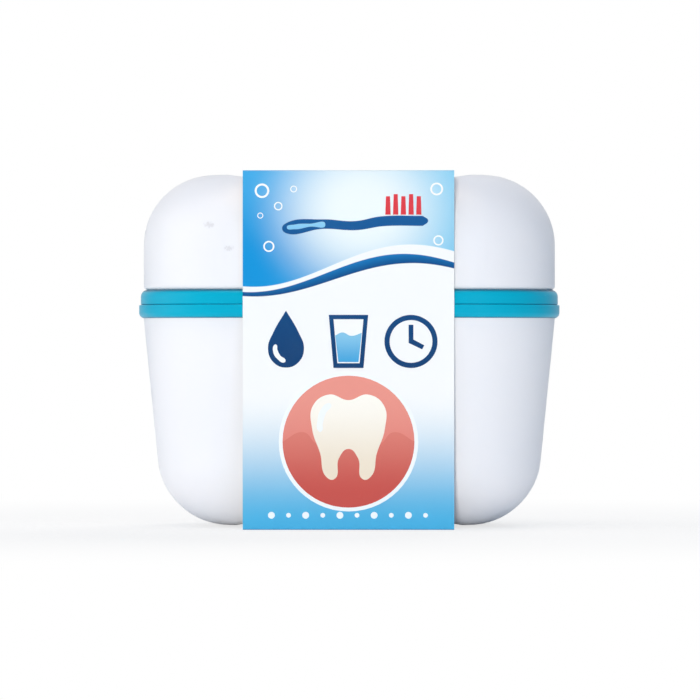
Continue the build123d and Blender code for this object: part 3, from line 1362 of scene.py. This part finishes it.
def smooth(*points: tuple[float, float]) -> Outline:
    """An outline that is smooth at every point."""
    return [(x, z, Corner.SMOOTH) for x, z in points]


def crisp(*points: tuple[float, float]) -> Outline:
    """An outline that is sharp at every point."""
    return [(x, z, Corner.SHARP) for x, z in points]


def ring(x: float, z: float, r: float) -> Outline:
    """A round outline about (x, z): four smooth points make a true circle."""
    turns = [i * math.pi / 2 for i in range(4)]
    return smooth(*((x + r * math.cos(a), z + r * math.sin(a)) for a in turns))


def moved(outline: Outline, dx: float, dz: float, size: float = 1.0) -> Outline:
    """The outline grown by size about zero and then moved."""
    return [(x * size + dx, z * size + dz, corner) for x, z, corner in outline]


@dataclass
class Motif:
    """A flat printed shape on the front panel or on the back flaps.

    Attributes:
        name: the piece's name.
        ink: its ink.
        body: the half of the sleeve that carries it.
        outlines: closed outlines in X and Z; an inner one is a hole.
        layer: how many films up it lies, 1 being on the card.
        behind: whether it lies on the back flaps.
        lift: from one layer to the next, in millimetres.
        film: thickness of the ink. The real 0.002 mm is too thin to show.
        curve_steps: pieces of line from one point to the next.
    """

    name: str
    ink: Ink
    body: Body
    outlines: list[Outline]
    layer: int = 1
    behind: bool = False
    lift: float = 0.05
    film: float = 0.045
    curve_steps: int = 14

    def fill(self) -> bpy.types.Mesh:
        """Fills the outlines.

        Returns:
            The flat shape as a mesh in metres, lying in X and Y.
        """
        curve = bpy.data.curves.new(self.name, "CURVE")
        curve.dimensions = "2D"
        curve.fill_mode = "BOTH"
        curve.resolution_u = self.curve_steps
        for outline in self.outlines:
            spline = curve.splines.new("BEZIER")
            spline.bezier_points.add(len(outline) - 1)
            for point, (x, z, corner) in zip(spline.bezier_points, outline):
                point.co = (x * MM, z * MM, 0)
                point.handle_left_type = point.handle_right_type = corner.value
            spline.use_cyclic_u = True
        drawn = bpy.data.objects.new(self.name + "_line", curve)
        bpy.context.scene.collection.objects.link(drawn)
        bpy.context.view_layer.update()
        mesh = bpy.data.meshes.new_from_object(drawn.evaluated_get(bpy.context.evaluated_depsgraph_get()))
        bpy.data.objects.remove(drawn)
        return mesh

    def build(self, face_y: float) -> bpy.types.Object:
        """Lays the filled outlines on the panel.

        Args:
            face_y: Y of the panel's face, in millimetres.

        Returns:
            The printed shape.
        """
        flat = self.fill()
        bm = bmesh.new()
        bm.from_mesh(flat)
        bpy.data.meshes.remove(flat)
        bmesh.ops.remove_doubles(bm, verts=bm.verts, dist=1e-6)
        bmesh.ops.rotate(bm, cent=(0, 0, 0), matrix=Matrix.Rotation(math.pi / 2, 3, "X"), verts=bm.verts)
        bmesh.ops.scale(bm, vec=(1 / MM, 1 / MM, 1 / MM), verts=bm.verts)
        out = 1 if self.behind else -1
        bmesh.ops.translate(bm, vec=(0, face_y + out * self.layer * self.lift, 0), verts=bm.verts)
        for face in bm.faces:
            if face.normal.y * out < 0:
                face.normal_flip()
        bmesh.ops.solidify(bm, geom=bm.faces[:], thickness=self.film)
        made = finish_mesh(bm, self.name)
        dress(made, self.ink)
        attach(made, self.body.value)
        return made


# A falling drop and a clock's hands, drawn about zero.
DROP = [
    *crisp((0, 7.2)),
    *smooth((2.9, 2.2), (4.2, -1.6), (2.9, -4.9), (0, -6.1), (-2.9, -4.9), (-4.2, -1.6), (-2.9, 2.2)),
]
HANDS = crisp((-0.55, 3.9), (0.55, 3.9), (0.55, 0.45), (3.1, -0.9), (2.6, -1.85), (-0.55, -0.35))
# Each bubble's X, Z and radius.
BUBBLES = (
    (-20.2, 79.2, 1.7),
    (-16.4, 75.6, 1.0),
    (-20.6, 73.4, 0.7),
    (21.0, 67.6, 1.2),
    (20.6, 79.6, 1.5),
    (-12.8, 79.6, 0.8),
    (-18.6, 66.2, 1.3),
)


@dataclass
class Artwork:
    """The generic print: brush and bubbles above, three signs, a tooth below.

    Attributes:
        front_y: Y of the front panel's face.
        back_y: Y of the back flaps' face.
        bubble_hole: inner radius of a bubble's line, as a share of the outer one.
        sign_x: X of the outer signs, either side of the middle.
        sign_z: height of the signs.
        round_r: radius of the round field.
        rim_w: width of the white rim round it.
        round_z: height of its middle.
        tooth_up: how far the tooth's middle stands over that.
        dots_z: height of the rows of dots.
        dots_out: X of their last dots.
        dots_r: radii of the front row's dots, in turn.
    """

    front_y: float
    back_y: float
    bubble_hole: float = 0.72
    sign_x: float = 14.6
    sign_z: float = 44.0
    round_r: float = 15.4
    rim_w: float = 0.9
    round_z: float = 20.6
    tooth_up: float = 0.8
    dots_z: float = 3.4
    dots_out: int = 18
    dots_r: tuple[float, float] = (0.8, 0.55)

    def build(self) -> list[bpy.types.Object]:
        """Builds every printed shape.

        Returns:
            The shapes, from the front's top to the back's foot.
        """
        motifs = [*self.brush(), *self.signs(), *self.field(), *self.back()]
        return [motif.build(self.back_y if motif.behind else self.front_y) for motif in motifs]

    def bubbles(self, way: float) -> list[Outline]:
        """The bubbles' lines, with X scaled by way."""
        return [ring(way * x, z, r * part) for x, z, r in BUBBLES for part in (1.0, self.bubble_hole)]

    def brush(self) -> list[Motif]:
        """Draws the brush and the bubbles round it.

        Returns:
            Its motifs.
        """
        handle = [
            *smooth((-15.5, 70.4), (-14.6, 69.3), (-6.0, 70.3), (2.0, 70.0), (8.0, 70.9)),
            *crisp((17.4, 71.0)),
            *smooth((18.6, 72.2)),
            *crisp((17.4, 73.3)),
            *smooth((7.6, 73.2), (1.5, 72.1), (-6.0, 72.5), (-14.6, 71.6)),
        ]
        inlay = smooth((-14.4, 70.6), (-12.6, 70.2), (-9.0, 70.8), (-5.4, 71.3), (-9.0, 71.5), (-12.6, 71.3))
        bristles = []
        for index in range(5):
            x, top = 8.6 + 1.8 * index, 77.9 + 0.5 * (index % 2)
            bristles.append(crisp((x, 73.6), (x + 1.25, 73.6), (x + 1.1, top), (x + 0.15, top)))
        body = Body.SLEEVE_TOP
        return [
            Motif("print_brush", NAVY, body, [handle]),
            Motif("print_brush_inlay", SKY_PALE, body, [inlay], layer=2),
            Motif("print_bristles", RED, body, bristles),
            Motif("print_bubbles", PAPER_WHITE, body, self.bubbles(1.0)),
        ]

    def signs(self) -> list[Motif]:
        """Draws the drop, the glass and the clock.

        Returns:
            Their motifs.
        """
        glint = [
            *smooth((-2.6, -0.7), (-3.0, -2.4), (-2.0, -4.1), (-0.4, -4.9)),
            *smooth((-0.1, -4.4), (-1.3, -3.3), (-2.0, -1.9), (-2.2, -0.8)),
        ]
        glass = crisp((-4.6, 6.2), (4.6, 6.2), (3.5, -6.2), (-3.5, -6.2))
        hollow = crisp((-3.5, 5.2), (3.5, 5.2), (2.6, -5.1), (-2.6, -5.1))
        water = [
            *crisp((-3.1, 1.4)),
            *smooth((-1.4, 2.1), (0.6, 1.3)),
            *crisp((3.1, 2.0), (2.35, -4.8), (-2.35, -4.8)),
        ]
        x, z, body = self.sign_x, self.sign_z, Body.SLEEVE_LOW
        return [
            Motif("print_drop", NAVY, body, [moved(DROP, -x, z)]),
            Motif("print_drop_shine", PAPER_WHITE, body, [moved(glint, -x, z)], layer=2),
            Motif("print_glass", NAVY, body, [moved(glass, 0, z), moved(hollow, 0, z)]),
            Motif("print_water", SKY, body, [moved(water, 0, z)]),
            Motif("print_clock", NAVY, body, [ring(x, z, 6.2), ring(x, z, 5.0)]),
            Motif("print_hands", NAVY, body, [moved(HANDS, x, z)]),
        ]

    def field(self) -> list[Motif]:
        """Draws the tooth in its round field, and the dots under it.

        Returns:
            Its motifs.
        """
        r, z, body = self.round_r, self.round_z, Body.SLEEVE_LOW
        turns = [math.radians(-5 * i) for i in range(36)]
        gum = [
            *crisp((-r, 0)),
            *smooth((-10.5, 2.2), (-7.0, -0.6), (-3.2, 1.2), (0, -0.8)),
            *smooth((3.2, 1.2), (7.0, -0.6), (10.5, 2.2)),
            *crisp(*((r * math.cos(a), r * math.sin(a)) for a in turns)),
        ]
        right = [(4.6, 10.2), (8.3, 7.6), (8.5, 2.2), (6.6, -3.6), (5.2, -9.0), (3.4, -9.6), (2.2, -4.6)]
        left = [(-x, height) for x, height in right]
        tooth = smooth(*left[1::-1], (0, 8.9), *right, (0, -2.5), *left[:1:-1])
        shine = [
            *smooth((-6.9, 1.6), (-7.2, 4.4), (-6.5, 6.6), (-5.0, 8.1)),
            *smooth((-4.1, 7.9), (-5.3, 5.8), (-6.0, 3.4), (-6.3, 1.6)),
        ]
        tooth_z = z + self.tooth_up
        spots = range(-self.dots_out, self.dots_out + 1, 4)
        dots = [ring(x, self.dots_z, self.dots_r[i % 2]) for i, x in enumerate(spots)]
        return [
            Motif("print_roundel_rim", PAPER_WHITE, body, [ring(0, z, r + self.rim_w), ring(0, z, r)]),
            Motif("print_roundel", CORAL, body, [ring(0, z, r)]),
            Motif("print_gum", ROSE, body, [moved(gum, 0, z)], layer=2),
            Motif("print_tooth", CREAM, body, [moved(tooth, 0, tooth_z)], layer=3),
            Motif("print_tooth_shine", PAPER_WHITE, body, [moved(shine, 0, tooth_z)], layer=4),
            Motif("print_foot_dots", PAPER_WHITE, body, dots),
        ]

    def back(self) -> list[Motif]:
        """Draws what the back flaps carry.

        Returns:
            Their motifs.
        """
        x, z, body = 11.0, 26.4, Body.SLEEVE_LOW
        spots = range(-self.dots_out, self.dots_out + 1, 3)
        dots = [ring(spot, self.dots_z, 0.7) for spot in spots]
        return [
            Motif("print_back_bubbles", PAPER_WHITE, Body.SLEEVE_TOP, self.bubbles(-0.9), behind=True),
            Motif("print_back_drop", NAVY, body, [moved(DROP, -x, 27.0, 1.15)], behind=True),
            Motif("print_back_clock", NAVY, body, [ring(x, z, 7.0), ring(x, z, 5.7)], behind=True),
            Motif("print_back_hands", NAVY, body, [moved(HANDS, x, z, 1.1)], behind=True),
            Motif("print_back_dots", PAPER_WHITE, body, dots, behind=True),
        ]


# ------------------------------------------------------------------ studio
@dataclass(frozen=True)
class Lamp:
    """A square soft light that faces the case.

    Attributes:
        name: the lamp's name.
        place: its position in millimetres.
        side: its side in millimetres.
        watts: its power.
        tint: its sRGB hex colour.
        mirrored: whether glossy surfaces show it.
        aim_z: the height that it faces, in millimetres.
    """

    name: str
    place: tuple[float, float, float]
    side: float
    watts: float
    tint: str
    mirrored: bool = True
    aim_z: float = 42.0

    def build(self) -> None:
        """Hangs the lamp."""
        light = bpy.data.lights.new(self.name, "AREA")
        light.shape = "SQUARE"
        light.size = self.side * MM
        light.energy = self.watts
        light.color = srgb(self.tint)[:3]
        made = bpy.data.objects.new(self.name, light)
        bpy.context.scene.collection.objects.link(made)
        made.visible_glossy = self.mirrored
        made.location = Vector(self.place) * MM
        aim = Vector((0, 0, self.aim_z)) * MM
        made.rotation_euler = (aim - made.location).to_track_quat("-Z", "Y").to_euler()


@dataclass
class Studio:
    """The floor, the light and the camera.

    Attributes:
        look_at: the point that falls in the middle of the frame.
        distance: from there to the camera, in millimetres.
        turn_deg: how far the camera stands to the right.
        rise_deg: how far it stands above the level.
        scale: pixels for each millimetre at the point.
        frame_px: width of the frame in pixels.
        film_mm: width of the camera's film.
        floor_half: half the floor's side.
        floor_z: how far the floor lies under the sleeve, so that the two never share a face.
        floor_near: where the floor starts to turn white to the eye, in metres.
        floor_far: where it has turned white.
        floor_white: how white it is before that.
        overhead: the way to the brightest part of the ceiling.
        bright: level of the ceiling.
        dim: level of the walls.
        low_air: colour of the dimmer light.
        high_air: colour of the brighter light.
        front_sheen: share of white that glossy surfaces mirror from the front.
        back_sheen: the same from behind, which lights the edges they turn away.
        lamps: the lamps round the case.
    """

    look_at: tuple[float, float, float] = (0.08, -0.85, 42.0)
    distance: float = 1500.0
    turn_deg: float = 0.4
    rise_deg: float = 0.0
    scale: float = 4.169
    frame_px: int = 700
    film_mm: float = 36.0
    floor_half: float = 6000.0
    floor_z: float = -0.03
    floor_near: float = 0.06
    floor_far: float = 0.3
    floor_white: float = 0.72
    overhead: tuple[float, float, float] = (-0.1, -0.1, 1.0)
    bright: float = 0.5
    dim: float = 0.06
    low_air: str = "AFD8FF"
    high_air: str = "B9E4FF"
    front_sheen: float = 0.15
    back_sheen: float = 0.75
    lamps: tuple[Lamp, ...] = (
        Lamp("key_left", (-1150, -60, 380), 900, 2.35, "FFF6E8"),
        Lamp("side_left", (-1150, 260, 140), 260, 2.6, "FFFAF4", mirrored=False),
        Lamp("low_front", (-60, -1000, 50), 96, 4.8, "FFF9EE", mirrored=False),
        Lamp("right_front", (620, -960, 260), 300, 0.66, "C8DAFF"),
        Lamp("overhead", (-100, -150, 1300), 900, 6.2, "FFE6D2"),
        Lamp("behind", (300, 1050, 830), 600, 6.5, "FFF6EA", mirrored=False),
    )

    def build(self) -> None:
        """Sets up the whole studio."""
        bpy.context.scene.view_settings.view_transform = "Standard"
        self.floor()
        self.world()
        for lamp in self.lamps:
            lamp.build()
        self.camera()

    def floor(self) -> None:
        """Lays a wide pale floor that keeps the shadow and turns white around it."""
        bm = bmesh.new()
        bmesh.ops.create_grid(bm, x_segments=8, y_segments=8, size=self.floor_half)
        bmesh.ops.translate(bm, vec=(0, 0, self.floor_z), verts=bm.verts)
        made = finish_mesh(bm, "studio_floor")
        # Matt paper: no sheen, and beyond the shadow as white as the background.
        material = bpy.data.materials.new("paper_backdrop_white")
        material.use_nodes = True
        tree = material.node_tree
        tree.nodes.clear()
        paper = put(tree, "ShaderNodeBsdfDiffuse", {"Color": srgb("FBFBFB")})
        white = put(tree, "ShaderNodeEmission", {"Color": WHITE, "Strength": 1.0})
        path = put(tree, "ShaderNodeLightPath")
        where = put(tree, "ShaderNodeTexCoord")
        away = put(tree, "ShaderNodeVectorMath", {0: where.outputs["Object"]}, operation="LENGTH")
        fade = put(
            tree,
            "ShaderNodeMapRange",
            {
                "Value": away.outputs["Value"],
                "From Min": self.floor_near,
                "From Max": self.floor_far,
                "To Min": self.floor_white,
                "To Max": 1.0,
            },
            interpolation_type="SMOOTHSTEP",
        )
        share = put(
            tree,
            "ShaderNodeMath",
            {0: path.outputs["Is Camera Ray"], 1: fade.outputs["Result"]},
            operation="MULTIPLY",
        )
        mix = put(
            tree,
            "ShaderNodeMixShader",
            {0: share.outputs[0], 1: paper.outputs[0], 2: white.outputs[0]},
        )
        out = put(tree, "ShaderNodeOutputMaterial")
        tree.links.new(mix.outputs[0], out.inputs["Surface"])
        made.data.materials.append(material)

    def world(self) -> None:
        """Makes a world that is white to the eye, and a cool soft ceiling for light."""
        world = bpy.data.worlds.new("studio_world")
        bpy.context.scene.world = world
        world.use_nodes = True
        tree = world.node_tree
        tree.nodes.clear()
        path = put(tree, "ShaderNodeLightPath")
        seen = put(
            tree,
            "ShaderNodeMath",
            {0: path.outputs["Is Camera Ray"], 1: path.outputs["Is Transmission Ray"]},
            operation="MAXIMUM",
        )
        way = put(tree, "ShaderNodeTexCoord")
        part = put(tree, "ShaderNodeSeparateXYZ", {0: way.outputs["Generated"]})
        up = put(
            tree,
            "ShaderNodeVectorMath",
            {0: way.outputs["Generated"], 1: Vector(self.overhead).normalized()},
            operation="DOT_PRODUCT",
        )
        levels = []
        for value, start, low, high in (
            (part.outputs["Y"], 0.0, self.front_sheen, self.back_sheen),
            (up.outputs["Value"], -0.1, self.dim, self.bright),
        ):
            ramp = put(
                tree,
                "ShaderNodeMapRange",
                {"Value": value, "From Min": start, "From Max": 1.0, "To Min": low, "To Max": high},
                interpolation_type="SMOOTHSTEP",
            )
            levels.append(ramp.outputs["Result"])
        sheen, level = levels
        gloss = put(
            tree, "ShaderNodeMath", {0: path.outputs["Is Glossy Ray"], 1: sheen}, operation="MULTIPLY"
        )
        share = put(tree, "ShaderNodeMath", {0: seen.outputs[0], 1: gloss.outputs[0]}, operation="MAXIMUM")
        air = put(
            tree,
            "ShaderNodeMix",
            {0: level, 6: srgb(self.low_air), 7: srgb(self.high_air)},
            data_type="RGBA",
        )
        soft = put(tree, "ShaderNodeBackground", {"Color": air.outputs[2], "Strength": level})
        white = put(tree, "ShaderNodeBackground", {"Color": WHITE, "Strength": 1.0})
        mix = put(
            tree, "ShaderNodeMixShader", {0: share.outputs[0], 1: soft.outputs[0], 2: white.outputs[0]}
        )
        out = put(tree, "ShaderNodeOutputWorld")
        tree.links.new(mix.outputs[0], out.inputs["Surface"])

    def camera(self) -> None:
        """Sets the camera before the case's front, level with its middle."""
        data = bpy.data.cameras.new("camera")
        data.lens = self.scale * self.film_mm * self.distance / self.frame_px
        data.sensor_width = self.film_mm
        data.clip_start = 0.01
        data.clip_end = 100
        made = bpy.data.objects.new("camera", data)
        bpy.context.scene.collection.objects.link(made)
        turn, rise = math.radians(self.turn_deg), math.radians(self.rise_deg)
        back = Vector((math.sin(turn) * math.cos(rise), -math.cos(turn) * math.cos(rise), math.sin(rise)))
        made.location = (Vector(self.look_at) + back * self.distance) * MM
        made.rotation_euler = (-back).to_track_quat("-Z", "Y").to_euler()
        bpy.context.scene.camera = made


def main() -> None:
    """Builds every piece in order and reports it."""
    logging.basicConfig(level=logging.INFO, format="%(message)s")
    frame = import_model()
    sizes = CaseSizes()
    sleeve = Sleeve(sizes)
    for maker in (
        Shells(sizes),
        Fittings(frame["nodes"]),
        ButtonGrip(sizes),
        ReturnSprings(),
        sleeve,
        Artwork(sizes.middle_y - sleeve.front, sizes.middle_y + sleeve.back),
    ):
        for made in maker.build():
            LOG.info("%s: %d faces", made.name, len(made.data.polygons))
    Studio().build()


if __name__ == "__main__":
    main()
